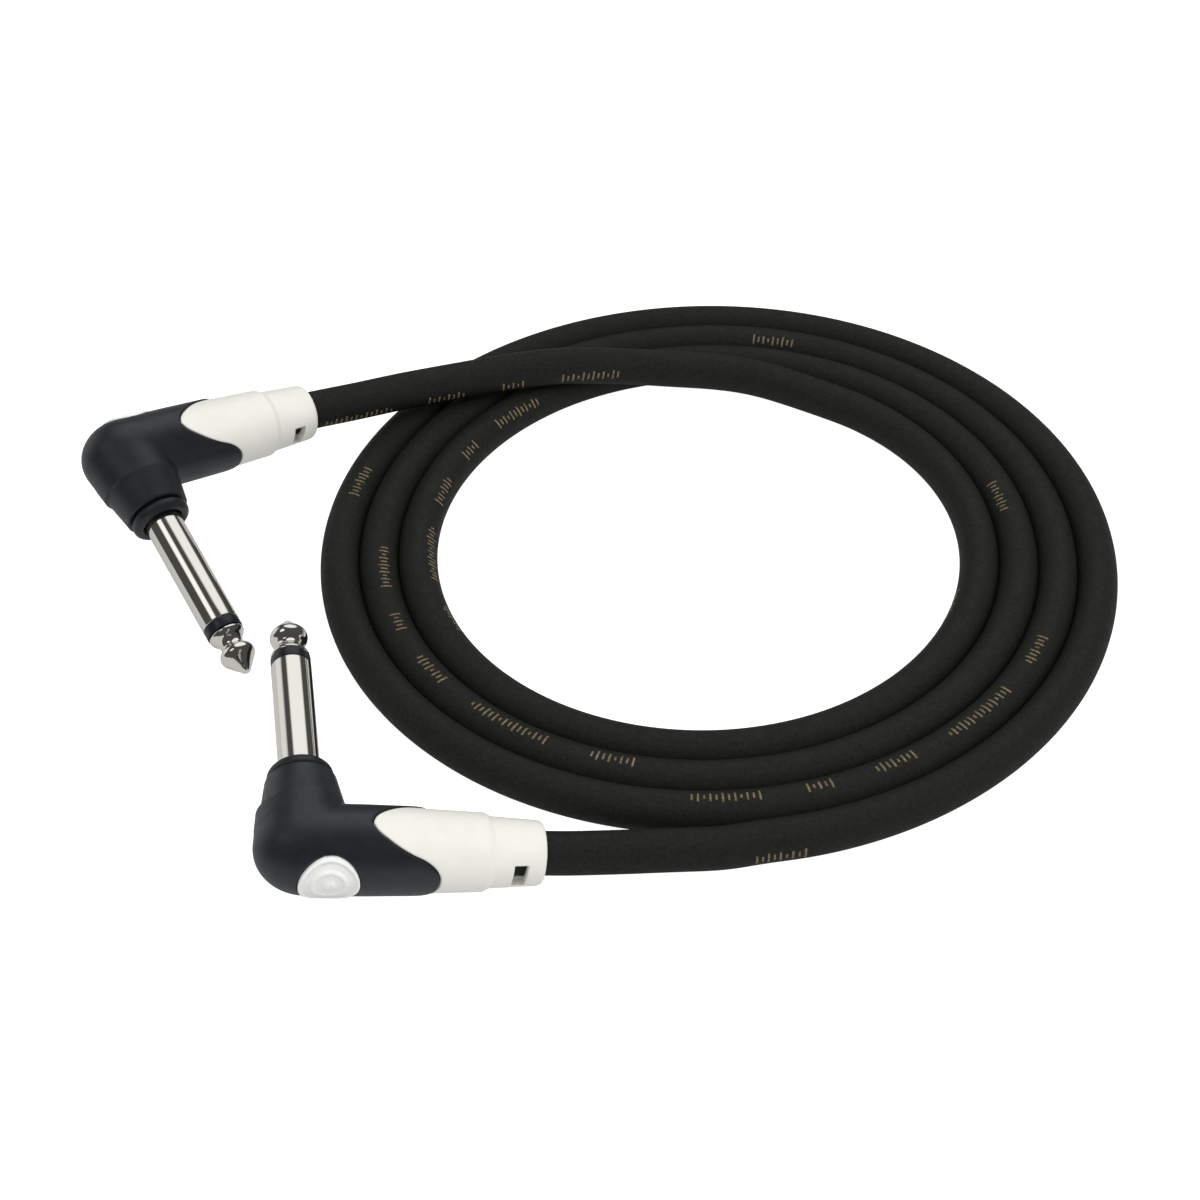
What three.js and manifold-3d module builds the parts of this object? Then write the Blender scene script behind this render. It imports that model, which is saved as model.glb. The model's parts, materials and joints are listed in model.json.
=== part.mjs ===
// Instrument cable: a coiled shielded cord with a right-angle 6.35 mm two-pole plug on each end.
// Millimetres, +Z up. The object lies on the plane z = 0. The origin is on that plane, at the middle
// of the rectangle that the two plugs cover. The cord is a soft part, drawn here as plain solids.

import * as THREE from "three";
import { mergeVertices } from "three/addons/utils/BufferGeometryUtils.js";
import Module from "manifold-3d";

const wasm = await Module();
wasm.setup();

// ---- driving dimensions -------------------------------------------------------------------------

const CORD_R = 3.35; // outer radius of the cord's jacket
const SHIELD_R = 1.9;
const CORE_R = 1.45;
const CONDUCTOR_R = 0.5;
const SIDES = 16; // of every turned piece, so that neighbours on one axis stay in step
const GAP = 0.3; // between solids that touch on the real object
const FIT = 0.1; // between turned pieces on one axis

// Coil: the turns lie side by side in one layer.
const COIL_CENTRE = [1.0, 1.4];
const COIL_OUTER_R = 68.9;
const COIL_INNER_R = 44.9;

// Shaft, along +Y of the plug: distances from the cord's axis.
const SHAFT_R = 3.175;
const SLEEVE_BORE_R = 2.3;
const ROD_R = 1.2;
const TUBE_R = SLEEVE_BORE_R - FIT;
const COLLAR_BASE = 12.5;
const COLLAR_FACE = 14.6;
const RING_START = 36.3;
const RING_WIDTH = 1.7;
const TIP_START = RING_START + RING_WIDTH + FIT;
const TIP_LENGTH = 8.1;
const ROD_IN_TIP = 1.6;
const SLEEVE_REAR = 7.4;
const FLANGE_R = 4.0;
const FLANGE_THICK = 1.2;
const TUBE_TAIL = 0.7; // how far each piece stands out behind the sleeve
const WASHER_TAIL = 1.8;
const ROD_TAIL = 4.0;

// Housing and boot, along +X of the plug: distances from the shaft's axis.
const LEG_R = 6.8;
const ELBOW_R = 6.6;
const ELBOW_REACH = 7.6; // behind the shaft's axis
const ELBOW_TOP = 6.6;
const NOSE_R = 4.3;
const FINGER_END = 19.2;
const PETAL_TIP = 9.0;
const BOOT_STEP = 26.8;
const BOOT_END = 35.5;
const MOULD_R = 5.0;
const MOULD_BACK = 5.6;
const CHAMBER_R = 3.9;
const JACKET_END = 11.6;
const CORD_FACE = BOOT_END - FIT; // where the stripped cord end meets the cord outside the boot
const SLOT = { x: 31.4, width: 2.1, height: 4.6, floor: 3.6 };

// Badge, wrapped round the back of the leg, opposite the shaft.
const BADGE_X = 2.9;
const BADGE_R = 4.5;
const BADGE_DEPTH = 0.6;
const BADGE_PROUD = 0.3;

// Where each plug lies: the crossing of its two axes, measured from the coil's own origin, and the
// directions in which its cord and its shaft leave that crossing.
const PLUG_A = {
  name: "plug_a",
  at: [-99.57, 6.11, 18.36],
  cord: [0.803, 0.576, -0.154],
  shaft: [0.498, -0.79, -0.359],
};
const PLUG_B = {
  name: "plug_b",
  at: [-61.9, -79.6, 11.75],
  cord: [0.967, 0.158, -0.198],
  shaft: [-0.142, 0.986, 0.091],
};

// ---- materials ----------------------------------------------------------------------------------

const material = (color, roughness, metalness) =>
  new THREE.MeshStandardMaterial({ color, roughness, metalness });

const JACKET = material(0x262624, 0.62, 0);
const SOFT_BLACK = material(0x2a2d32, 0.5, 0);
const MOULD_BLACK = material(0x1c1e22, 0.45, 0);
const RING_BLACK = material(0x16181c, 0.4, 0);
const WARM_WHITE = material(0xece9df, 0.45, 0);
const BADGE_GREY = material(0xd3d5d2, 0.35, 0);
const NICKEL = material(0xd6d1c6, 0.12, 1);
const BRASS = material(0xb59a5a, 0.3, 1);
const COPPER = material(0xb5693f, 0.35, 1);
const CLEAR_CORE = material(0xdcd8cc, 0.5, 0);

// ---- helpers ------------------------------------------------------------------------------------

// A closed geometry as a manifold-3d solid, ready to be joined or cut.
function solid(geometry) {
  const g = geometry.clone();
  g.deleteAttribute("normal");
  g.deleteAttribute("uv");
  const merged = mergeVertices(g, 1e-4);
  return new wasm.Manifold(
    new wasm.Mesh({
      numProp: 3,
      vertProperties: merged.attributes.position.array,
      triVerts: new Uint32Array(merged.index.array),
    }),
  );
}

function geometryOf(body) {
  const mesh = body.getMesh();
  return new THREE.BufferGeometry()
    .setAttribute("position", new THREE.BufferAttribute(mesh.vertProperties, 3))
    .setIndex(new THREE.BufferAttribute(mesh.triVerts, 1));
}

// Turns a profile of [radius, height] points about Y. The points run up the outside, so that the
// faces point out, and either start and end on the axis or close on themselves.
function turned(profile, segments = SIDES) {
  const points = profile.map(([r, y]) => new THREE.Vector2(r, y));
  if (profile[0][0] > 0) points.push(points[0].clone());
  return new THREE.LatheGeometry(points, segments);
}

// The same about X: the profile's heights run along X.
const turnedAlongX = (profile, segments = SIDES) =>
  turned(profile, segments).rotateZ(-Math.PI / 2);

// A tube's profile: bore radius, outer radius, and its two ends.
const tubeProfile = (bore, outer, start, end) => [
  [bore, start],
  [outer, start],
  [outer, end],
  [bore, end],
];

const rodProfile = (radius, start, end) => [
  [0, start],
  [radius, start],
  [radius, end],
  [0, end],
];

// Points of a quarter of an ellipse, from the axis out to the full radius.
function dome(radius, depth, base, steps = 5) {
  return Array.from({ length: steps }, (_, i) => {
    const turn = (Math.PI / 2) * (i / steps);
    return [radius * Math.sin(turn), base - depth * Math.cos(turn)];
  });
}

function box(sizeX, sizeY, sizeZ, x, y, z) {
  return new THREE.BoxGeometry(sizeX, sizeY, sizeZ).translate(x, y, z);
}

function part(name, geometry, look) {
  const mesh = new THREE.Mesh(geometry, look);
  mesh.name = name;
  return mesh;
}

// ---- shaft --------------------------------------------------------------------------------------

function sleeve() {
  const flangeTop = SLEEVE_REAR + FLANGE_THICK;
  return turned([
    [SLEEVE_BORE_R, SLEEVE_REAR],
    [FLANGE_R, SLEEVE_REAR],
    [FLANGE_R, flangeTop],
    [SHAFT_R, flangeTop],
    [SHAFT_R, RING_START - FIT],
    [SLEEVE_BORE_R, RING_START - FIT],
  ]);
}

const insulatorRing = () => {
  const sunk = 0.05;
  return turned(tubeProfile(ROD_R + FIT, SHAFT_R - sunk, RING_START, RING_START + RING_WIDTH));
};

const insulatingTube = () =>
  turned(tubeProfile(ROD_R + FIT, TUBE_R, SLEEVE_REAR - TUBE_TAIL, RING_START - FIT));

const rearWasher = () => {
  const rim = 3.1;
  const front = SLEEVE_REAR - TUBE_TAIL - FIT;
  return turned(tubeProfile(ROD_R + FIT, rim, SLEEVE_REAR - WASHER_TAIL, front));
};

const centreRod = () =>
  turned(rodProfile(ROD_R, SLEEVE_REAR - ROD_TAIL, TIP_START + ROD_IN_TIP));

// Tip: shoulder, neck, ball and blunt cone, bored at the back for the centre rod.
function tip() {
  const outline = [
    [3.0, 0],
    [3.05, 0.3],
    [2.95, 0.75],
    [2.5, 1.3],
    [2.08, 1.9],
    [2.0, 2.5],
    [2.1, 3.0],
    [2.5, 3.45],
    [2.85, 3.95],
    [2.98, 4.5],
    [2.88, 5.0],
    [0.85, 7.55],
    [0.55, 7.95],
    [0, TIP_LENGTH],
  ];
  const bore = ROD_R + FIT;
  const depth = ROD_IN_TIP + 2 * FIT;
  const socket = [
    [0, depth],
    [bore, depth],
    [bore, 0],
  ];
  return turned([...socket, ...outline]).translate(0, TIP_START, 0);
}

function collar() {
  return turned([
    [SHAFT_R + FIT, COLLAR_BASE],
    [4.75, COLLAR_BASE],
    [4.95, COLLAR_BASE + 0.5],
    [5.0, COLLAR_FACE - 0.9],
    [4.75, COLLAR_FACE],
    [3.9, COLLAR_FACE],
    [SHAFT_R + FIT, COLLAR_FACE - 1.0],
  ]);
}

// ---- housing, boot and badge --------------------------------------------------------------------

// Seen along Z, the petals of the boot open from a rounded tip to the full width at the fingers.
function petalPrism(grow) {
  const edge = [
    [PETAL_TIP, 0],
    [PETAL_TIP + 0.75, 1.5],
    [PETAL_TIP + 2.4, 2.9],
    [PETAL_TIP + 5.7, 4.65],
    [PETAL_TIP + 8.6, 5.65],
    [FINGER_END - 0.2, 6.4],
    [FINGER_END, 7.4],
  ];
  const side = edge.map(([x, y]) => new THREE.Vector2(x - grow, y + (y ? grow : 0)));
  const far = BOOT_END + 5;
  const shape = new THREE.Shape();
  shape.moveTo(side[0].x, side[0].y);
  shape.splineThru(side.slice(1));
  shape.lineTo(far, side.at(-1).y);
  shape.lineTo(far, -side.at(-1).y);
  shape.lineTo(side.at(-1).x, -side.at(-1).y);
  shape.splineThru(side.slice(0, -1).reverse().map((p) => new THREE.Vector2(p.x, -p.y)));
  const depth = 2 * ELBOW_REACH + 2;
  return new THREE.ExtrudeGeometry(shape, { depth, bevelEnabled: false, curveSegments: 2 })
    .translate(0, 0, -depth / 2);
}

// The block that holds the joints: one limb along each axis. The housing's cavity is the same
// shape grown by the gap.
function mouldBlock(grow) {
  const r = MOULD_R + grow;
  const nose = NOSE_R + grow;
  const shoulder = SLEEVE_REAR + FLANGE_THICK + 0.2;
  const cordEnd = FINGER_END - 0.5 + grow;
  const shaftEnd = COLLAR_BASE - GAP + 4 * grow;
  const alongCord = turnedAlongX([
    ...dome(r, MOULD_BACK + grow, 0),
    [r, 0],
    [r, cordEnd],
    [0, cordEnd],
  ]);
  const alongShaft = turned([
    ...dome(r, r, 0),
    [r, 0],
    [r, shoulder],
    [nose, shoulder + 0.5],
    [nose, shaftEnd],
    [0, shaftEnd],
  ]);
  return solid(alongCord).add(solid(alongShaft));
}

// The mould is hollow round the joints and round the rear end of the shaft.
function innerMould() {
  const wall = 1.4;
  const cordChamber = turnedAlongX(rodProfile(CHAMBER_R, wall - MOULD_BACK, FINGER_END));
  const flangeSeat = SLEEVE_REAR + FLANGE_THICK + FIT;
  const shaftChamber = turned([
    [0, wall],
    [FLANGE_R + FIT, wall],
    [FLANGE_R + FIT, flangeSeat],
    [SHAFT_R + FIT, flangeSeat],
    [SHAFT_R + FIT, COLLAR_BASE],
    [0, COLLAR_BASE],
  ]);
  return geometryOf(mouldBlock(0).subtract(solid(cordChamber)).subtract(solid(shaftChamber)));
}

// The elbow reaches further back than it is wide.
function elbow() {
  const shape = turned([
    ...dome(ELBOW_R, ELBOW_R, 0),
    [ELBOW_R, 0],
    [ELBOW_R - 0.15, 3.6],
    [ELBOW_R - 0.5, ELBOW_TOP],
    [0, ELBOW_TOP],
  ]);
  const points = shape.attributes.position;
  for (let i = 0; i < points.count; i++) {
    const x = points.getX(i);
    if (x < 0) points.setX(i, (x * ELBOW_REACH) / ELBOW_R);
  }
  return shape;
}

function housing() {
  const leg = turnedAlongX([
    ...dome(ELBOW_R, ELBOW_REACH, 0),
    [ELBOW_R, 0],
    [LEG_R, 1.5],
    [LEG_R - 0.05, 9],
    [6.2, FINGER_END],
    [0, FINGER_END],
  ]);
  const neck = turned([
    [0, 0],
    [6.6, 0],
    [6.45, ELBOW_TOP],
    [5.5, COLLAR_BASE - 0.6],
    [5.1, COLLAR_BASE - GAP],
    [0, COLLAR_BASE - GAP],
  ]);
  const body = solid(leg)
    .add(solid(elbow()))
    .add(solid(neck))
    .subtract(mouldBlock(GAP / 2))
    .subtract(solid(petalPrism(GAP / 2)))
    .subtract(badgeRecess());
  return geometryOf(body);
}

function boot() {
  const outside = turnedAlongX([
    [MOULD_R + GAP / 2, PETAL_TIP - 1],
    [LEG_R - 0.1, PETAL_TIP - 1],
    [6.15, FINGER_END],
    [5.9, BOOT_STEP - 0.5],
    [5.35, BOOT_STEP + 0.5],
    [4.9, BOOT_END - 1.0],
    [4.6, BOOT_END - 0.3],
    [4.1, BOOT_END],
    [CORD_R + GAP, BOOT_END],
    [CORD_R + GAP, FINGER_END + 0.6],
    [MOULD_R + GAP / 2, FINGER_END + 0.2],
  ]);
  const slotDepth = 2.6;
  let body = solid(outside).intersect(solid(petalPrism(-GAP / 2)));
  for (const side of [1, -1]) {
    const y = side * (SLOT.floor + slotDepth / 2);
    body = body.subtract(solid(box(SLOT.width, slotDepth, SLOT.height, SLOT.x, y, 0)));
  }
  return geometryOf(body);
}

// A round bar across the back of the leg, and a shell round the leg: the badge is what they share.
function badgeDisc(radius) {
  const bar = turned(rodProfile(radius, -ELBOW_REACH - 2, -LEG_R / 2));
  return solid(bar.translate(BADGE_X, 0, 0));
}

function badgeShell(inner, outer) {
  const reach = BADGE_R + 2;
  return solid(turnedAlongX(tubeProfile(inner, outer, BADGE_X - reach, BADGE_X + reach)));
}

const badgeRecess = () =>
  badgeDisc(BADGE_R + FIT).intersect(badgeShell(LEG_R - BADGE_DEPTH, ELBOW_REACH + 2));

const badge = () => {
  const shell = badgeShell(LEG_R - BADGE_DEPTH + FIT, LEG_R + BADGE_PROUD);
  return geometryOf(badgeDisc(BADGE_R).intersect(shell));
};

// ---- cord end and its joints --------------------------------------------------------------------

// Each layer of the cord is stripped back further than the one inside it.
const jacketEnd = () =>
  turnedAlongX(tubeProfile(SHIELD_R + FIT, CORD_R, JACKET_END, CORD_FACE));

const shield = () =>
  turnedAlongX(tubeProfile(CORE_R + FIT, SHIELD_R, JACKET_END - 0.9, CORD_FACE));

const coreInsulation = () =>
  turnedAlongX(tubeProfile(CONDUCTOR_R + FIT, CORE_R, JACKET_END - 3.1, CORD_FACE));

const conductor = () => turnedAlongX(rodProfile(CONDUCTOR_R, 3.4, CORD_FACE));

// A bent strip with a hole over the centre rod's tail, its tab turned down to the conductor.
function tipLug() {
  const thick = 0.4;
  const width = 2.0;
  const discR = 2.4;
  const level = SLEEVE_REAR - WASHER_TAIL - 0.8;
  const armStart = discR - 0.6;
  const tabX = 3.0;
  const tabLength = level + thick + 0.8;
  const disc = turned(tubeProfile(ROD_R + FIT, discR, level, level + thick));
  const arm = box(tabX - armStart, thick, width, (tabX + armStart) / 2, level + thick / 2, 0);
  const tab = box(thick, tabLength, width, tabX, level + thick - tabLength / 2, 0);
  return geometryOf(solid(disc).add(solid(arm)).add(solid(tab)));
}

// A washer behind the sleeve's flange, a strip along the cord, and a clamp that grips the jacket.
function groundLug() {
  const thick = 0.3;
  const width = 1.8;
  const level = SLEEVE_REAR - FIT - thick;
  const top = level + thick;
  const run = CORD_R + 0.05;
  const riserX = 3.65;
  const clampStart = JACKET_END + 0.8;
  const clampLength = 3.2;
  const clampThick = 0.4;
  const mouthWidth = 1.6;
  const stripLength = clampStart + 0.5 - riserX;
  const washer = turned(tubeProfile(TUBE_R + FIT, FLANGE_R - FIT, level, top));
  const riser = box(0.4, top - run, width, riserX, (top + run) / 2, 0);
  const strip = box(stripLength, thick, width, riserX + stripLength / 2, run + thick / 2, 0);
  const clamp = turnedAlongX(
    tubeProfile(run, run + clampThick, clampStart, clampStart + clampLength),
  );
  const mouth = box(clampLength + 1, 3, mouthWidth, clampStart + clampLength / 2, -run, 0);
  const body = solid(washer)
    .add(solid(riser))
    .add(solid(strip))
    .add(solid(clamp).subtract(solid(mouth)));
  return geometryOf(body);
}

// ---- one plug, in its own frame: cord along +X, shaft along +Y ------------------------------------

function plug({ name, at, cord, shaft }) {
  const group = new THREE.Group();
  const add = (piece, geometry, look) => group.add(part(`${name}_${piece}`, geometry, look));
  add("sleeve", sleeve(), NICKEL);
  add("tip", tip(), NICKEL);
  add("insulator_ring", insulatorRing(), RING_BLACK);
  add("insulating_tube", insulatingTube(), RING_BLACK);
  add("rear_washer", rearWasher(), RING_BLACK);
  add("centre_rod", centreRod(), BRASS);
  add("tip_lug", tipLug(), BRASS);
  add("ground_lug", groundLug(), BRASS);
  add("inner_mould", innerMould(), MOULD_BLACK);
  add("housing", housing(), SOFT_BLACK);
  add("collar", collar(), MOULD_BLACK);
  add("boot", boot(), WARM_WHITE);
  add("badge", badge(), BADGE_GREY);
  add("jacket_end", jacketEnd(), JACKET);
  add("shield", shield(), COPPER);
  add("core_insulation", coreInsulation(), CLEAR_CORE);
  add("conductor", conductor(), COPPER);
  const x = new THREE.Vector3(...cord).normalize();
  const z = new THREE.Vector3().crossVectors(x, new THREE.Vector3(...shaft)).normalize();
  const y = new THREE.Vector3().crossVectors(z, x);
  group.quaternion.setFromRotationMatrix(new THREE.Matrix4().makeBasis(x, y, z));
  group.position.set(...at);
  return group;
}

// ---- cord ---------------------------------------------------------------------------------------

// The coil's outer shape: a flat ring one cord high with round edges.
function coil() {
  const steps = 4;
  const edge = (radius, side) =>
    Array.from({ length: steps + 1 }, (_, i) => {
      const turn = -Math.PI / 2 + (Math.PI * i) / steps;
      return [radius + side * CORD_R * Math.cos(turn), CORD_R + side * CORD_R * Math.sin(turn)];
    });
  const profile = [
    ...edge(COIL_OUTER_R - CORD_R, 1),
    ...edge(COIL_INNER_R + CORD_R, -1),
  ];
  return turned(profile, 48).rotateX(Math.PI / 2);
}

// A plain tube along a list of points.
function cordTube(points) {
  const section = new THREE.Shape();
  section.absarc(0, 0, CORD_R, 0, 2 * Math.PI);
  const path = new THREE.CatmullRomCurve3(points.map((p) => new THREE.Vector3(...p)));
  const steps = Math.ceil(path.getLength() / (2 * CORD_R));
  return new THREE.ExtrudeGeometry(section, { steps, curveSegments: 5, extrudePath: path });
}

// The cord leaves plug A, falls to the coil and crosses over its turns.
const LEAD_A = [
  [-70.7, 26.85, 12.85],
  [-67.1, 28.55, 12.5],
  [-63.5, 30.2, 12.2],
  [-60.0, 31.95, 11.85],
  [-56.6, 33.75, 11.5],
  [-53.1, 35.4, 11.2],
  [-49.5, 36.95, 10.9],
  [-45.9, 38.4, 10.65],
  [-42.3, 39.7, 10.5],
  [-38.7, 40.9, 10.4],
  [-33.2, 42.4, 10.4],
  [-25.9, 43.8, 10.4],
];

// The cord leaves plug B and runs along the surface until it meets the coil's outer turn.
const LEAD_B = [
  [-27.2, -73.92, 4.6],
  [-23.6, -73.35, 3.9],
  [-19.5, -72.85, 3.5],
  [-15.0, -72.6, 3.37],
  [-8.0, -72.25, 3.36],
  [0.0, -71.9, 3.36],
];

// ---- the cable ----------------------------------------------------------------------------------

const plugs = new THREE.Group();
plugs.add(plug(PLUG_A), plug(PLUG_B));

const cord = new THREE.Group();
const ring = part("cord_coil", coil(), JACKET);
ring.position.set(...COIL_CENTRE, 0);
cord.add(ring);
cord.add(part("cord_lead_a", cordTube(LEAD_A), JACKET));
cord.add(part("cord_lead_b", cordTube(LEAD_B), JACKET));

const layout = new THREE.Group();
layout.add(plugs, cord);
layout.updateMatrixWorld(true);
const footprint = new THREE.Box3().setFromObject(plugs, true).getCenter(new THREE.Vector3());
layout.position.set(-footprint.x, -footprint.y, 0);

const cable = new THREE.Group();
cable.add(layout);

export default cable;
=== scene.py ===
# Looks of the coiled instrument cable: the cord, the two right-angle plugs and the studio.
import json
import math
from itertools import product

import bpy
import numpy as np
from mathutils import Matrix, Quaternion, Vector


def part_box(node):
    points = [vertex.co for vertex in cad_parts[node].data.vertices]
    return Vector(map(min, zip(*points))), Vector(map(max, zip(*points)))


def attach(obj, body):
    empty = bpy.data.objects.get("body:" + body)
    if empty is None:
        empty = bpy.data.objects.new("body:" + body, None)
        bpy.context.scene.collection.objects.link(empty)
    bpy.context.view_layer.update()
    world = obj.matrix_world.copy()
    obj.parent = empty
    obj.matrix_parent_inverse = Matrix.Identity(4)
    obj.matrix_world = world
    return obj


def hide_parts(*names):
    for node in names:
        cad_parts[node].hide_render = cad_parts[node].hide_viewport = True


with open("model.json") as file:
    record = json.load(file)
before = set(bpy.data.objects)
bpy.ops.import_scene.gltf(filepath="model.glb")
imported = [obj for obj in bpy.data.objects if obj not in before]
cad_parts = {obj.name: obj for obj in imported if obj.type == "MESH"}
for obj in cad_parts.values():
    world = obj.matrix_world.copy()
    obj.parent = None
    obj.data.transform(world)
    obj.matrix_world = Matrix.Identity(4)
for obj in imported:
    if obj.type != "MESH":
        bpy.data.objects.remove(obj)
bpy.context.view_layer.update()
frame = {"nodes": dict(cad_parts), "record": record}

MM = 0.001

# ---- sizes, in millimetres, as in the CAD source ------------------------------------------------

CORD_R = 3.35
COIL_CENTRE = (1.0, 1.4)

SHAFT_R = 3.175
SLEEVE_BORE_R = 2.3
ROD_R = 1.2
FIT = 0.1
COLLAR_BASE = 12.5
COLLAR_FACE = 14.6
RING_START = 36.3
RING_WIDTH = 1.7
TIP_START = RING_START + RING_WIDTH + FIT
TIP_LENGTH = 8.1
SLEEVE_REAR = 7.4
FLANGE_R = 4.0
FLANGE_THICK = 1.2

LEG_R = 6.8
ELBOW_R = 6.6
ELBOW_REACH = 7.6
ELBOW_TOP = 6.6
NOSE_R = 4.3
FINGER_END = 19.2
PETAL_TIP = 9.0
BOOT_STEP = 26.8
BOOT_END = 35.5
MOULD_R = 5.0
JACKET_END = 11.6
SLOT_X = 31.4
SLOT_WIDTH = 2.1
SLOT_HEIGHT = 4.6

BADGE_X = 2.9
BADGE_R = 4.5
BADGE_PROUD = 0.3

# Where each plug's axes cross, and where its cord and its shaft point, from the coil's own origin.
PLUGS = {
    "plug_a": ((-99.57, 6.11, 18.36), (0.803, 0.576, -0.154), (0.498, -0.79, -0.359)),
    "plug_b": ((-61.9, -79.6, 11.75), (0.967, 0.158, -0.198), (-0.142, 0.986, 0.091)),
}

coil_low, coil_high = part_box("cord_coil")
ORIGIN = Vector(((coil_low.x + coil_high.x) / 2, (coil_low.y + coil_high.y) / 2, 0))
ORIGIN -= Vector((*COIL_CENTRE, 0)) * MM


def place(name):
    """The matrix that takes a plug's own frame, cord along X and shaft along Y, to the row frame."""
    at, cord, shaft = (Vector(v) for v in PLUGS[name])
    x = cord.normalized()
    z = x.cross(shaft).normalized()
    turn = Matrix((x, z.cross(x), z)).transposed().to_4x4()
    return Matrix.Translation(ORIGIN + at * MM) @ turn


# ---- camera -------------------------------------------------------------------------------------

CAMERA_AT = (-18.706, -324.776, 270.886)  # from the coil's own origin, in millimetres
CAMERA_LENS = 72.87
CAMERA_DOWN = 40.766  # degrees below the horizon
CAMERA_ROLL = -0.343


def add_camera():
    data = bpy.data.cameras.new("camera")
    data.lens = CAMERA_LENS
    data.clip_start, data.clip_end = 0.01, 50
    camera = bpy.data.objects.new("camera", data)
    bpy.context.scene.collection.objects.link(camera)
    tilt = Quaternion((1, 0, 0), math.radians(90 - CAMERA_DOWN))
    roll = Quaternion((0, 0, 1), math.radians(CAMERA_ROLL))
    camera.rotation_mode = "QUATERNION"
    camera.rotation_quaternion = tilt @ roll
    camera.location = ORIGIN + Vector(CAMERA_AT) * MM
    bpy.context.scene.camera = camera


# ---- mesh helpers -------------------------------------------------------------------------------


def new_object(name, points, faces, matrix=Matrix.Identity(4)):
    """A smooth mesh object from points in millimetres, standing at matrix."""
    mesh = bpy.data.meshes.new(name)
    mesh.from_pydata((np.array(points, float) * MM).tolist(), [], [list(f) for f in faces])
    mesh.shade_smooth()
    made = bpy.data.objects.new(name, mesh)
    made.matrix_world = matrix
    bpy.context.scene.collection.objects.link(made)
    return made


def add_piece(name, shape, finish, matrix=Matrix.Identity(4), nodes=()):
    """A piece of the cable, made from (points, faces), with the material of its (material, slot)
    finish (the slot is not used), its CAD nodes hidden.
    """
    piece = new_object(name, *shape, matrix)
    material, slot = finish
    piece.data.materials.append(material)
    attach(piece, "root")
    if nodes:
        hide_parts(*nodes)
    return piece


def ring_faces(rings, sides, closed=False):
    """Quads between rings of points, each of the same number of sides."""
    faces = []
    for i in range(rings if closed else rings - 1):
        here, there = i * sides, (i + 1) % rings * sides
        for j in range(sides):
            k = (j + 1) % sides
            faces.append((here + j, here + k, there + k, there + j))
    return faces


def corner(r, y, radius, start, end, steps=5):
    """Profile points of a round corner about (r, y), its angles in degrees from the +r direction."""
    turns = np.radians(np.linspace(start, end, steps))
    return [(r + radius * math.cos(t), y + radius * math.sin(t)) for t in turns]


def turned(profile, sides=96):
    """Turns a closed profile of (radius, height) points about Y."""
    angles = np.linspace(0, 2 * math.pi, sides, endpoint=False)
    points = [(r * math.sin(a), y, r * math.cos(a)) for r, y in profile for a in angles]
    return points, ring_faces(len(profile), sides, closed=True)


def smooth_line(points, step):
    """A smooth line through the points, with a new point about every step."""
    p = np.array(points, float)
    p = np.vstack([2 * p[0] - p[1], p, 2 * p[-1] - p[-2]])
    line = []
    for a, b, c, d in zip(p, p[1:], p[2:], p[3:]):
        count = max(1, round(np.linalg.norm(c - b) / step))
        t = np.linspace(0, 1, count, endpoint=False)[:, None]
        bend = (2 * a - 5 * b + 4 * c - d) * t + (3 * b - a - 3 * c + d) * t * t
        line.append(b + t / 2 * (c - a + bend))
    return np.vstack([*line, p[-2:-1]])


# ---- surfaces from a distance: negative inside, in millimetres ----------------------------------


def joined(a, b, fillet):
    """Distance to both solids together, with a fillet where they meet."""
    h = np.clip(0.5 + 0.5 * (b - a) / fillet, 0, 1)
    return b + (a - b) * h - fillet * h * (1 - h)


def shared(a, b, fillet):
    """Distance to what lies in both solids, its edge rounded."""
    return -joined(-a, -b, fillet)


def without(a, b, fillet):
    """Distance to the first solid with the second cut away, its edge rounded."""
    return -joined(-a, b, fillet)


def line_distance(x, y, line):
    """Distance from points of a plane to a line of straight pieces."""
    best = np.full(np.shape(x), np.inf)
    for (x0, y0), (x1, y1) in zip(line, line[1:]):
        dx, dy = x1 - x0, y1 - y0
        t = np.clip(((x - x0) * dx + (y - y0) * dy) / (dx * dx + dy * dy), 0, 1)
        best = np.minimum(best, np.hypot(x - x0 - t * dx, y - y0 - t * dy))
    return best


def turned_distance(along, across, profile):
    """Distance to a turned solid, its profile's (along, radius) points going from end to end."""
    ends = [(profile[0][0], 0), *profile, (profile[-1][0], 0)]
    outline = [p for p, q in zip(ends, ends[1:]) if p != q] + [ends[-1]]
    xs, rs = (np.array(v) for v in zip(*profile))
    inside = (along > xs[0]) & (along < xs[-1]) & (across < np.interp(along, xs, rs))
    away = line_distance(along, across, outline)
    return np.where(inside, -away, away)


def quarter(across, depth, steps=14):
    """Profile of a rounded end: from the axis at -depth to the full radius at 0."""
    turns = np.linspace(0, math.pi / 2, steps)
    return [(-depth * math.cos(t), across * math.sin(t)) for t in turns]


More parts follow.
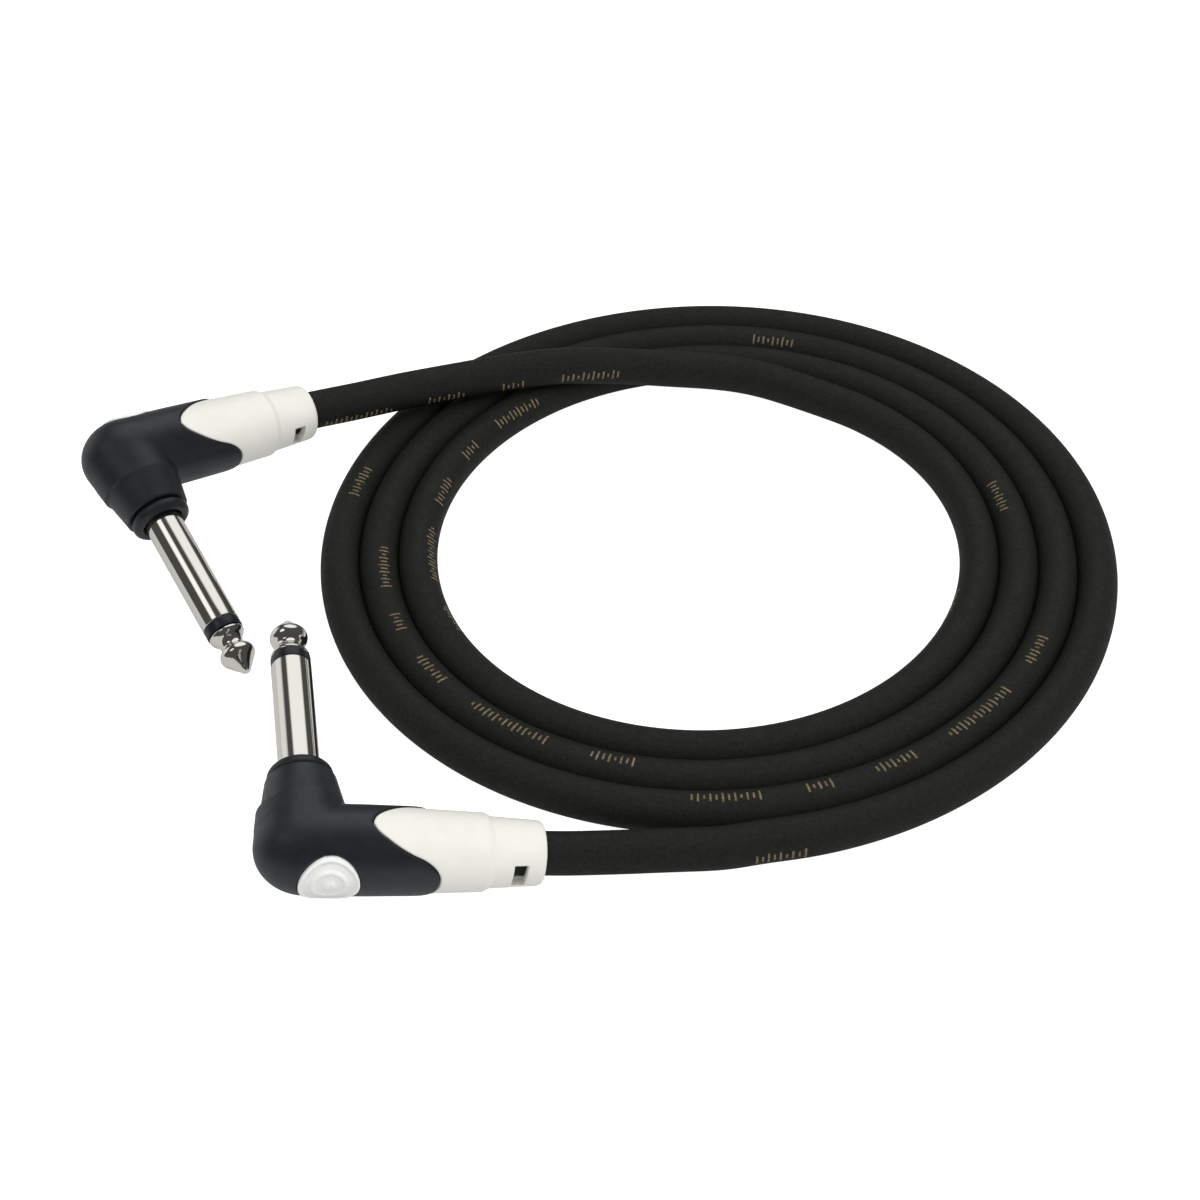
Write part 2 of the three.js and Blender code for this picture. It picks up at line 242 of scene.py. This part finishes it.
def skin(distance, low, high, cell=0.2):
    """Points and quads of the surface where distance(x, y, z) is zero, inside a box."""
    low = np.array(low, float)
    axes = [np.arange(a, b + cell, cell) for a, b in zip(low, high)]
    d = distance(*np.meshgrid(*axes, indexing="ij"))
    inside = d < 0
    nx, ny, nz = (n - 1 for n in d.shape)
    corners = list(product((0, 1), repeat=3))
    held = sum(inside[i:i + nx, j:j + ny, k:k + nz].astype(np.int8) for i, j, k in corners)
    cells = np.argwhere((held > 0) & (held < 8))
    number = np.zeros((nx, ny, nz), np.int64)
    number[tuple(cells.T)] = np.arange(len(cells))
    total, hits = np.zeros((len(cells), 3)), np.zeros((len(cells), 1))
    for start, axis in product(corners, range(3)):
        if start[axis] == 1:
            continue
        end = np.array(start)
        end[axis] = 1
        a, b = d[tuple((cells + start).T)], d[tuple((cells + end).T)]
        crossed = ((a < 0) != (b < 0))[:, None]
        share = (a / np.where(a == b, 1, a - b))[:, None]
        total += crossed * (cells + start + share * (end - start))
        hits += crossed
    points = total / hits * cell + low
    units = np.eye(3, dtype=int)
    quads = []
    for axis in range(3):
        u, v = units[(axis + 1) % 3], units[(axis + 2) % 3]
        here = tuple(slice(0, -1) if k == axis else slice(1, -1) for k in range(3))
        there = tuple(slice(1, None) if k == axis else slice(1, -1) for k in range(3))
        edges = np.argwhere(inside[here] != inside[there]) + u + v
        quad = np.stack([number[tuple((edges - o).T)] for o in (0 * u, u, u + v, v)], 1)
        backwards = ~inside[tuple(edges.T)]
        quad[backwards] = quad[backwards, ::-1]
        quads.append(quad)
    quads = np.vstack(quads)
    return settled(points, quads, distance, cell), quads


def settled(points, quads, distance, cell, rounds=3):
    """Evens the points out along the surface, and puts them exactly on it."""
    a = quads.ravel()
    b = np.roll(quads, -1, axis=1).ravel()
    neighbours = np.bincount(a, minlength=len(points))[:, None]
    for _ in range(rounds):
        around = [np.bincount(a, points[b, k], len(points)) for k in range(3)]
        points = (points + np.stack(around, 1) / neighbours) / 2
        points = onto(points, distance, cell)
    return onto(points, distance, cell)


def onto(points, distance, cell):
    """Moves the points onto the surface along its slope, by at most one cell."""
    reach = 0.02
    d = distance(*points.T)
    slope = []
    for step in np.eye(3) * reach:
        slope.append((distance(*(points + step).T) - distance(*(points - step).T)) / (2 * reach))
    slope = np.stack(slope, 1)
    steep = np.maximum((slope ** 2).sum(1), 0.25)
    return points - np.clip(d / steep, -cell, cell)[:, None] * slope


# ---- housing, boot and badge --------------------------------------------------------------------

SEAM = 0.16  # the groove between housing and boot
SEAM_R = 6.5  # the leg's mean radius along the seam

# The edge between housing and boot, from a petal's tip to a finger's end: along the cord, and
# round the leg from the middle of the petal.
PETAL_EDGE = smooth_line(
    [(PETAL_TIP, -1.2), (PETAL_TIP, 0), (9.75, 1.5), (11.4, 2.95), (13.0, 4.1), (14.7, 5.1),
     (16.5, 5.95), (17.6, 6.7), (18.4, 7.55), (19.0, 8.6), (FINGER_END, 9.7), (FINGER_END, 11.4)],
    0.6)


def petal_side(x, y, z):
    """Distance to the space of the boot and its petals, negative on the boot's side."""
    round_leg = np.arctan2(np.abs(y), np.abs(z)) * SEAM_R
    edge = np.interp(round_leg, PETAL_EDGE[:, 1], PETAL_EDGE[:, 0])
    away = line_distance(x, round_leg, PETAL_EDGE)
    return np.where(x > edge, -away, away)


def hollow(x, y, z):
    """The housing's cavity, round the inner mould."""
    r = MOULD_R + FIT
    leg = quarter(r, MOULD_R + 0.7) + [(FINGER_END - 0.4, r)]
    knob = quarter(r, r) + [(SLEEVE_REAR + 1.5, r), (SLEEVE_REAR + 2.2, NOSE_R + FIT)]
    knob += [(COLLAR_BASE + 1, NOSE_R + FIT)]
    return np.minimum(
        turned_distance(x, np.hypot(y, z), leg),
        turned_distance(y, np.hypot(x, z), knob),
    )


def badge_seat(x, y, z, clearance):
    """The round bar across the back of the leg that the badge is cut from."""
    return np.maximum(np.hypot(x - BADGE_X, z) - BADGE_R - clearance, y + LEG_R / 2)


def housing_distance(x, y, z):
    """Leg, elbow and neck in one, cut out for the mould, the petals and the badge."""
    leg = quarter(ELBOW_R, ELBOW_REACH)
    leg += [(1.5, LEG_R - 0.05), (2.2, LEG_R), (9, LEG_R - 0.05), (17, 6.6), (FINGER_END + 1, 6.45)]
    elbow = quarter(ELBOW_R, ELBOW_R) + [(3.6, ELBOW_R - 0.15), (ELBOW_TOP, ELBOW_R - 0.5)]
    neck = [(0, 6.6), (ELBOW_TOP, 6.45), (COLLAR_BASE - 0.2, 5.45)]
    from_cord, from_shaft = np.hypot(y, z), np.hypot(x, z)
    reach = np.hypot(np.where(x < 0, x * ELBOW_R / ELBOW_REACH, x), z)
    body = joined(
        turned_distance(x, from_cord, leg), turned_distance(y, reach, elbow), 0.6)
    body = joined(body, turned_distance(y, from_shaft, neck), 0.3)
    body = without(body, hollow(x, y, z), 0.2)
    body = without(body, petal_side(x, y, z) - SEAM / 2, 0.3)
    pocket = np.maximum(badge_seat(x, y, z, FIT), LEG_R - 0.6 - from_cord)
    return without(body, pocket, 0.25)


def boot_distance(x, y, z):
    """A tapering sleeve round the cord with a step, two slots and two petals."""
    outside = [
        (PETAL_TIP - 1, 6.68),
        (15, 6.45),
        (FINGER_END, 6.2),
        (BOOT_STEP - 0.5, 5.92),
        (BOOT_STEP + 0.5, 5.38),
        (BOOT_END, 4.85),
    ]
    from_cord = np.hypot(y, z)
    body = turned_distance(x, from_cord, outside)
    body = shared(body, x - BOOT_END, 1.2)
    body = without(body, from_cord - CORD_R - 0.05, 0.15)
    wide = np.maximum(from_cord - MOULD_R - 0.2, x - FINGER_END - 0.3)
    body = without(body, wide, 0.1)
    slot = np.maximum(np.abs(x - SLOT_X) - SLOT_WIDTH / 2, np.abs(z) - SLOT_HEIGHT / 2)
    slot = np.maximum(slot, CORD_R - 0.5 - np.abs(y))
    body = without(body, slot, 0.25)
    return shared(body, petal_side(x, y, z) + SEAM / 2, 0.3)


def badge_distance(x, y, z):
    """A disc wrapped round the leg, with a raised rim, a ring and a boss in the middle."""
    from_cord = np.hypot(y, z)
    out = np.hypot(x - BADGE_X, z)
    relief = 0.35
    rim = relief * np.exp(-(((out - BADGE_R) / 0.5) ** 6))
    ring = 0.7 * relief * np.exp(-(((out - 2.5) / 0.35) ** 4))
    boss = 0.8 * relief * np.exp(-((out / 0.95) ** 6))
    top = LEG_R + BADGE_PROUD - relief + rim + ring + boss
    body = np.maximum(from_cord - top, LEG_R - 0.55 - from_cord)
    return shared(body, badge_seat(x, y, z, 0), 0.12)


# ---- turned pieces ------------------------------------------------------------------------------


def sleeve_shape():
    """The shaft with the flange at its foot, bored through."""
    foot, rim = 0.15, 0.14
    top = SLEEVE_REAR + FLANGE_THICK
    end = RING_START - FIT / 2
    return turned([
        (SLEEVE_BORE_R, SLEEVE_REAR),
        *corner(FLANGE_R - foot, SLEEVE_REAR + foot, foot, -90, 0),
        *corner(FLANGE_R - foot, top - foot, foot, 0, 90),
        *[(SHAFT_R, y) for y in np.linspace(top + 0.05, end - rim - 0.02, 12)],
        *corner(SHAFT_R - rim, end - rim, rim, 10, 90),
        (SLEEVE_BORE_R, end),
    ])


def insulator_shape():
    """The ring between sleeve and tip, a touch thinner than the shaft."""
    sunk, edge = SHAFT_R - 0.03, 0.1
    start, end = RING_START, RING_START + RING_WIDTH
    return turned([
        (ROD_R + FIT, start),
        *corner(sunk - edge, start + edge, edge, -90, 0),
        *corner(sunk - edge, end - edge, edge, 0, 90),
        (ROD_R + FIT, end),
    ])


def tip_shape():
    """Shoulder, hollow neck, ball and blunt cone, bored at the back for the centre rod."""
    outline = [(2.86, 0.0), (3.03, 0.18), (3.05, 0.45)]
    outline += smooth_line([(3.0, 0.65), (2.72, 1.1), (2.3, 1.55), (2.05, 2.05), (2.0, 2.6),
                            (2.12, 3.0)], 0.18).tolist()
    outline += smooth_line([(2.3, 3.18), (2.72, 3.55), (2.95, 4.1), (3.0, 4.6),
                            (2.86, 5.1)], 0.18).tolist()
    outline += [(2.5, 5.6), (2.0, 6.22), (1.45, 6.88), (1.08, 7.3)]
    outline += corner(0, TIP_LENGTH - 1.05, 1.05, 40, 90, 7)[1:-1] + [(0.02, TIP_LENGTH)]
    bore = [(0.02, 1.8), (ROD_R + FIT, 1.8), (ROD_R + FIT, 0)]
    profile = [(r, TIP_START + y) for r, y in bore + outline]
    return turned(profile)


def collar_shape():
    """The collar round the foot of the shaft, with its rounded bead and dished face."""
    base, face = COLLAR_BASE - 0.2, COLLAR_FACE
    return turned([
        (SHAFT_R + 0.05, base),
        (4.5, base),
        (4.62, base + 0.25),
        *corner(4.55, base + 0.85, 0.5, -60, 0, 5),
        *corner(4.0, face - 1.05, 1.05, 0, 80, 9),
        (3.95, face),
        (3.7, face - 0.06),
        (3.5, face - 0.35),
        (SHAFT_R + 0.05, face - 0.9),
    ])


# ---- cord ---------------------------------------------------------------------------------------

# From plug A, falling to the coil and crossing over its turns.
LEAD_A = [
    (-70.7, 26.85, 12.85),
    (-67.1, 28.55, 12.5),
    (-63.5, 30.2, 12.2),
    (-60.0, 31.95, 11.85),
    (-56.6, 33.75, 11.5),
    (-53.1, 35.4, 11.2),
    (-49.5, 36.95, 10.9),
    (-45.9, 38.4, 10.65),
    (-42.3, 39.7, 10.5),
    (-38.7, 40.9, 10.4),
    (-33.2, 42.4, 10.4),
    (-25.9, 43.8, 10.4),
]

# Down from there, off the next turn, into its own place as the innermost one.
DESCENT = [
    (-18.9, 45.5, 9.15),
    (-13.2, 46.7, 8.1),
    (-4.2, 47.9, 6.5),
    (4.2, 48.0, 5.7),
    (12.5, 46.5, 4.9),
]

# From the outer turn to plug B.
LEAD_B = [
    (0.0, -71.9, 3.36),
    (-8.0, -72.25, 3.36),
    (-15.0, -72.6, 3.37),
    (-19.5, -72.85, 3.5),
    (-23.6, -73.35, 3.9),
    (-27.2, -73.92, 4.6),
]

# The turns run from the inside out, measured in degrees from the near side of the coil.
INNER_TURN_FROM = 1228
OUTER_TURN_TO = 4
COIL_R = 69.76  # the turns' radius at 0 degrees, but for the oval
OVAL_X = -1.325  # how much further out than round the turns lie along X
OVAL_DIAGONAL = 0.81  # and along the diagonal between X and Y
PRESSED = 0.03  # how far neighbouring turns are pressed into each other
EASING_ROUNDS = 10


def coil_line(step=6):
    """The turns side by side: slightly oval rings that grow by one cord's width a turn."""
    turn_width = 2 * CORD_R - PRESSED
    points = []
    for degrees in range(INNER_TURN_FROM, OUTER_TURN_TO - 1, -step):
        around = math.radians(degrees - 90)
        oval = OVAL_X * math.cos(2 * around) + OVAL_DIAGONAL * math.sin(2 * around)
        r = COIL_R + oval - turn_width * degrees / 360
        points.append((r * math.cos(around), r * math.sin(around), CORD_R))
    return points


def inside_plug(name):
    """The cord's points inside a plug's boot, in millimetres from the coil's own origin."""
    along = [JACKET_END, 18, 25, 32]
    return [(place(name) @ Vector((x * MM, 0, 0)) - ORIGIN) / MM for x in along]


def cord_line():
    """The whole cord's centreline, a point every millimetre, with its small kinks eased."""
    leads = [*inside_plug("plug_a"), *LEAD_A, *DESCENT, *coil_line(), *LEAD_B]
    line = smooth_line([*leads, *reversed(inside_plug("plug_b"))], 1.0)
    for _ in range(EASING_ROUNDS):
        line[1:-1] = (line[:-2] + 2 * line[1:-1] + line[2:]) / 4
    return line


def cord_frames(line):
    """At each point of the line, the directions across it: outwards from the bend, and up."""
    ahead = np.gradient(line, axis=0)
    ahead /= np.linalg.norm(ahead, axis=1)[:, None]
    side = np.cross(ahead, (0, 0, 1.0))
    side /= np.linalg.norm(side, axis=1)[:, None]
    return side, np.cross(side, ahead)


def cord_shape(line, sides=48):
    """A tube round the line, closed at both ends."""
    side, up = cord_frames(line)
    angles = np.linspace(2 * math.pi, 0, sides, endpoint=False)
    round_it = side[:, None] * np.cos(angles)[:, None] + up[:, None] * np.sin(angles)[:, None]
    points = (line[:, None] + CORD_R * round_it).reshape(-1, 3)
    faces = ring_faces(len(line), sides)
    last = (len(line) - 1) * sides
    faces += [tuple(range(sides - 1, -1, -1)), tuple(last + j for j in range(sides))]
    return points, faces


# Plain marks printed along the jacket: in each repeat, where every group of marks starts and ends.
PRINT_FROM = 10.0
PRINT_REPEAT = 293.8
PRINT_REPEATS = 5
PRINT_GROUPS = [(0, 7.3), (14.6, 29.1), (36.5, 43.9), (51, 55.1), (62.4, 73.5), (180, 188)]
PRINT_PITCH = 0.95
PRINT_HEIGHTS = (2.0, 1.1, 1.6, 0.7, 1.8, 1.3)
STROKE = 0.34
STROKE_POINTS = 6
STROKE_SUNK, STROKE_PROUD = 0.05, 0.02  # how far it reaches under and over the jacket's surface

# How far round the cord the print stands, in degrees, against the distance along the cord.
PRINT_TURN = [(0, -35), (40, -22), (70, -15), (84, 8), (300, 40), (365, 50), (376, 42),
              (488, 63), (600, 92), (641, 92), (672, 70), (779, 52), (900, 95), (960, 90),
              (1075, 77), (1180, -60), (1270, -110), (1360, -176), (1430, -176)]


def print_strokes(length):
    """Each stroke's distance along the cord and its height, where the plugs don't hide it."""
    hidden = BOOT_END - JACKET_END + 2
    strokes = []
    for repeat, (start, end) in product(range(PRINT_REPEATS), PRINT_GROUPS):
        for k, step in enumerate(np.arange(start, end, PRINT_PITCH)):
            at = PRINT_FROM + repeat * PRINT_REPEAT + step
            if hidden < at < length - hidden:
                strokes.append((at, PRINT_HEIGHTS[k % len(PRINT_HEIGHTS)]))
    return strokes


def print_shape(line):
    """One thin closed patch for every stroke, a little proud of the jacket."""
    along = np.concatenate([[0], np.cumsum(np.linalg.norm(np.diff(line, axis=0), axis=1))])
    side, up = cord_frames(line)
    n = STROKE_POINTS
    low, high = CORD_R - STROKE_SUNK, CORD_R + STROKE_PROUD
    points, faces = [], []
    for at, height in print_strokes(along[-1]):
        turn = math.radians(np.interp(at, *zip(*PRINT_TURN)))
        turns = turn + np.linspace(0.5, -0.5, n) * height / CORD_R
        first = len(points)
        rows = ((at, low), (at, high), (at + STROKE, high), (at + STROKE, low))
        for s, r in rows:
            middle, out, over = ([np.interp(s, along, v[:, k]) for k in range(3)]
                                 for v in (line, side, up))
            for t in turns:
                way = np.array(out) * math.cos(t) + np.array(over) * math.sin(t)
                points.append(np.array(middle) + r * way)
        for i, j in product(range(len(rows)), range(n - 1)):
            a, b = first + i * n + j, first + (i + 1) % len(rows) * n + j
            faces.append((a, a + 1, b + 1, b))
        faces.append(tuple(first + i * n for i in range(len(rows))))
        faces.append(tuple(first + i * n + n - 1 for i in reversed(range(len(rows)))))
    return points, faces


# ---- materials ----------------------------------------------------------------------------------


class Look:
    """A Principled material with helpers for its patterns, on the piece's own coordinates."""

    def __init__(self, name, **inputs):
        self.material = bpy.data.materials.new(name)
        self.material.use_nodes = True
        self.tree = self.material.node_tree
        self.shader = self.tree.nodes["Principled BSDF"]
        for key, value in inputs.items():
            self.shader.inputs[key.replace("_", " ")].default_value = value
        self.where = self.tree.nodes.new("ShaderNodeTexCoord").outputs["Object"]

    def link(self, a, b):
        self.tree.links.new(a, b)

    def noise(self, size, detail=2.0):
        """Noise whose grains are about size millimetres across."""
        node = self.tree.nodes.new("ShaderNodeTexNoise")
        node.inputs["Scale"].default_value = 1 / (size * MM)
        node.inputs["Detail"].default_value = detail
        self.link(self.where, node.inputs["Vector"])
        return node.outputs["Fac"]

    def spread(self, value, low, high, start=0.3, end=0.7):
        """The value, taken from the range start to end to the range low to high."""
        node = self.tree.nodes.new("ShaderNodeMapRange")
        for key, number in zip(("From Min", "From Max", "To Min", "To Max"), (start, end, low, high)):
            node.inputs[key].default_value = number
        self.link(value, node.inputs["Value"])
        return node.outputs["Result"]

    def colour(self, value, dark, light):
        """Base colour that follows the value, from dark at 0.3 to light at 0.7."""
        ramp = self.tree.nodes.new("ShaderNodeValToRGB")
        for element, place_at, tint in zip(ramp.color_ramp.elements, (0.3, 0.7), (dark, light)):
            element.position = place_at
            element.color = (*tint, 1)
        self.link(value, ramp.inputs["Fac"])
        self.link(ramp.outputs["Color"], self.shader.inputs["Base Color"])

    def roughness(self, value, low, high):
        """Roughness that follows the value, from low to high."""
        self.link(self.spread(value, low, high), self.shader.inputs["Roughness"])

    def bump(self, value, depth):
        """Bump of the value, depth millimetres high."""
        node = self.tree.nodes.new("ShaderNodeBump")
        node.inputs["Distance"].default_value = depth * MM
        self.link(value, node.inputs["Height"])
        self.link(node.outputs["Normal"], self.shader.inputs["Normal"])


def jacket_look():
    look = Look("cord_jacket", Specular_IOR_Level=0.2)
    look.colour(look.noise(0.5, 4), (0.0085, 0.0085, 0.0074), (0.015, 0.015, 0.0132))
    look.roughness(look.noise(1.5, 3), 0.6, 0.72)
    look.bump(look.noise(0.35, 3), 0.02)
    return look.material, "cord_jacket"


def print_look():
    look = Look("print_tan", Specular_IOR_Level=0.2)
    look.colour(look.noise(0.3, 3), (0.07, 0.057, 0.034), (0.25, 0.198, 0.115))
    look.roughness(look.noise(0.3, 2), 0.55, 0.7)
    return look.material, "cord_jacket"


def soft_black_look():
    look = Look("soft_black", Specular_IOR_Level=0.6, Specular_Tint=(0.93, 0.965, 1.0, 1))
    look.colour(look.noise(2.5, 3), (0.0075, 0.0088, 0.0115), (0.0103, 0.0121, 0.0156))
    look.roughness(look.noise(1.2, 3), 0.4, 0.5)
    look.bump(look.noise(0.25, 2), 0.006)
    return look.material, "soft_black"


def collar_look():
    look = Look("collar_black", Base_Color=(0.01, 0.012, 0.014, 1), Specular_IOR_Level=0.4)
    look.roughness(look.noise(0.8, 2), 0.34, 0.44)
    look.bump(look.noise(0.3, 2), 0.004)
    return look.material, "soft_black"


def white_look():
    depth = (0.8 * MM, 0.7 * MM, 0.5 * MM)
    look = Look("boot_white", Subsurface_Weight=0.1, Subsurface_Radius=depth, Subsurface_Scale=1.0)
    look.colour(look.noise(3, 3), (0.75, 0.742, 0.69), (0.775, 0.767, 0.717))
    look.roughness(look.noise(1.0, 3), 0.42, 0.54)
    look.bump(look.noise(0.3, 2), 0.005)
    return look.material, "boot_white"


def nickel_look():
    look = Look("nickel_plate", Base_Color=(0.81, 0.795, 0.735, 1), Metallic=1.0)
    look.roughness(look.noise(0.5, 4), 0.05, 0.1)
    return look.material, "nickel_plate"


def insulator_look():
    look = Look("black_ring", Base_Color=(0.008, 0.01, 0.014, 1), Specular_IOR_Level=0.4)
    look.roughness(look.noise(0.4, 2), 0.26, 0.36)
    return look.material, "black_ring"


def badge_look():
    look = Look("badge_grey", Coat_Weight=0.3, Coat_Roughness=0.15)
    look.colour(look.noise(1.5, 3), (0.8, 0.805, 0.78), (0.86, 0.865, 0.84))
    look.roughness(look.noise(0.5, 2), 0.3, 0.4)
    return look.material, "badge_grey"


def inner_looks():
    """Finishes of the CAD nodes inside the plugs, by record slot."""
    rows = {
        "mould_black": ((0.02, 0.021, 0.024), 0.45, 0.0),
        "black_ring": ((0.012, 0.013, 0.016), 0.4, 0.0),
        "brass": ((0.7, 0.55, 0.28), 0.28, 1.0),
        "copper": ((0.72, 0.4, 0.22), 0.35, 1.0),
        "core_clear": ((0.8, 0.78, 0.7), 0.5, 0.0),
    }
    looks = {}
    for slot, (colour, roughness, metallic) in rows.items():
        look = Look(f"inner_{slot}", Metallic=metallic)
        look.colour(look.noise(0.8, 3), [c * 0.85 for c in colour], colour)
        look.roughness(look.noise(0.5, 2), roughness * 0.85, roughness * 1.15)
        looks[slot] = look.material
    return looks


# ---- studio -------------------------------------------------------------------------------------


def add_softbox(name, at, aim, size, power):
    """A soft lamp that lights the cable but isn't mirrored in it."""
    data = bpy.data.lights.new(name, "AREA")
    data.shape = "RECTANGLE"
    data.size, data.size_y = size
    data.energy = power
    lamp = bpy.data.objects.new(name, data)
    lamp.location = at
    lamp.rotation_mode = "QUATERNION"
    lamp.rotation_quaternion = (Vector(aim) - Vector(at)).to_track_quat("-Z", "Y")
    lamp.visible_glossy = False
    bpy.context.scene.collection.objects.link(lamp)


def by_ray(tree, seen, glossy, other):
    """A strength that depends on what looks: the camera, a reflection or a matt surface."""
    path = tree.nodes.new("ShaderNodeLightPath")
    value = None
    for ray, strength in (("Is Glossy Ray", glossy), ("Is Camera Ray", seen)):
        mix = tree.nodes.new("ShaderNodeMix")
        mix.inputs["A"].default_value = other
        if isinstance(strength, float):
            mix.inputs["B"].default_value = strength
        else:
            tree.links.new(strength, mix.inputs["B"])
        tree.links.new(path.outputs[ray], mix.inputs["Factor"])
        if value:
            tree.links.new(value, mix.inputs["A"])
        value = mix.outputs["Result"]
    return value


def add_floor():
    """A plain white floor, lit from below so that it stays white round the cable."""
    half = 4000
    corners = [(-half, -half, 0), (half, -half, 0), (half, half, 0), (-half, half, 0)]
    floor = new_object("floor", corners, [(0, 1, 2, 3)])
    grey, white = (0.35, 0.35, 0.35, 1), (1, 1, 1, 1)
    look = Look("floor_white", Base_Color=grey, Roughness=0.8, Specular_IOR_Level=0.0)
    look.shader.inputs["Emission Color"].default_value = white
    look.link(by_ray(look.tree, 1.0, 0.25, 0.5), look.shader.inputs["Emission Strength"])
    floor.data.materials.append(look.material)


ROOM = 0.07  # how bright the reflected room is between its cards

# White cards round the object, seen only in its reflections: compass direction of the middle in
# degrees from +Y towards +X, height above the floor in degrees, how many degrees of it are fully
# bright, where it has faded out, and its strength.
CARDS = [
    (12, 50, 24, 33, 0.95),
    (-105, 59, 6, 16, 1.1),
    (-60, 8, 14, 27, 0.75),
]


def reflected_room(tree):
    """The dim room with its white cards, by the direction that a reflected ray leaves in."""
    direction = tree.nodes.new("ShaderNodeTexCoord").outputs["Generated"]
    value = None
    for compass, height, bright, faded, strength in CARDS:
        compass, height = math.radians(compass), math.radians(height)
        middle = tree.nodes.new("ShaderNodeVectorMath")
        middle.operation = "DOT_PRODUCT"
        middle.inputs[1].default_value = (
            math.cos(height) * math.sin(compass),
            math.cos(height) * math.cos(compass),
            math.sin(height),
        )
        tree.links.new(direction, middle.inputs[0])
        fade = tree.nodes.new("ShaderNodeMapRange")
        fade.interpolation_type = "SMOOTHSTEP"
        fade.inputs["From Min"].default_value = math.cos(math.radians(faded))
        fade.inputs["From Max"].default_value = math.cos(math.radians(bright))
        fade.inputs["To Max"].default_value = strength
        tree.links.new(middle.outputs["Value"], fade.inputs["Value"])
        total = tree.nodes.new("ShaderNodeMath")
        total.inputs[0].default_value = ROOM
        if value:
            tree.links.new(value, total.inputs[0])
        tree.links.new(fade.outputs["Result"], total.inputs[1])
        value = total.outputs["Value"]
    return value


def add_world():
    """White behind everything, a soft fill for matt surfaces and a dim room in reflections."""
    world = bpy.data.worlds.new("world")
    world.use_nodes = True
    tree = world.node_tree
    background = tree.nodes["Background"]
    background.inputs["Color"].default_value = (1, 1, 1, 1)
    strength = by_ray(tree, 1.0, reflected_room(tree), 0.52)
    tree.links.new(strength, background.inputs["Strength"])
    bpy.context.scene.world = world


def light_studio():
    add_world()
    add_floor()
    middle = (0.05, 0.02, 0)
    add_softbox("overhead", (0.05, -0.25, 1.1), middle, (1.2, 1.0), 7.5)
    add_softbox("left", (-0.9, -0.3, 0.7), middle, (0.8, 0.8), 0.8)
    add_softbox("right", (1.0, -0.2, 0.6), middle, (0.8, 0.8), 4.5)
    bpy.context.scene.view_settings.view_transform = "Standard"


# ---- the cable ----------------------------------------------------------------------------------


def add_cord(jacket):
    line = cord_line()
    marks = add_piece("cord_print", print_shape(line), print_look(), Matrix.Translation(ORIGIN))
    solids = ["cord_coil", "cord_lead_a", "cord_lead_b", "plug_a_jacket_end", "plug_b_jacket_end"]
    cord = add_piece("cord", cord_shape(line), jacket, Matrix.Translation(ORIGIN), solids)


def add_plugs():
    boxes = {
        "housing": ((-8.4, -8.4, -8.4), (FINGER_END + 0.8, COLLAR_BASE + 0.6, 8.4)),
        "boot": ((PETAL_TIP - 1.6, -7.4, -7.4), (BOOT_END + 0.6, 7.4, 7.4)),
        "badge": ((BADGE_X - 5.6, -7.8, -5.6), (BADGE_X + 5.6, -3.0, 5.6)),
    }
    nickel = nickel_look()
    shapes = {
        "housing": (skin(housing_distance, *boxes["housing"]), soft_black_look()),
        "boot": (skin(boot_distance, *boxes["boot"]), white_look()),
        "badge": (skin(badge_distance, *boxes["badge"], cell=0.12), badge_look()),
        "collar": (collar_shape(), collar_look()),
        "sleeve": (sleeve_shape(), nickel),
        "insulator_ring": (insulator_shape(), insulator_look()),
        "tip": (tip_shape(), nickel),
    }
    for plug, (part, (shape, finish)) in product(PLUGS, shapes.items()):
        add_piece(f"{plug}_{part}_skin", shape, finish, place(plug), [f"{plug}_{part}"])


def dress_inner_nodes():
    looks = inner_looks()
    slots = {s["node"]: s["material_slot"] for s in frame["record"]["subparts"]}
    for name, node in frame["nodes"].items():
        if slots[name] in looks:
            node.data.materials.clear()
            node.data.materials.append(looks[slots[name]])


add_camera()
add_cord(jacket_look())
add_plugs()
dress_inner_nodes()
light_studio()
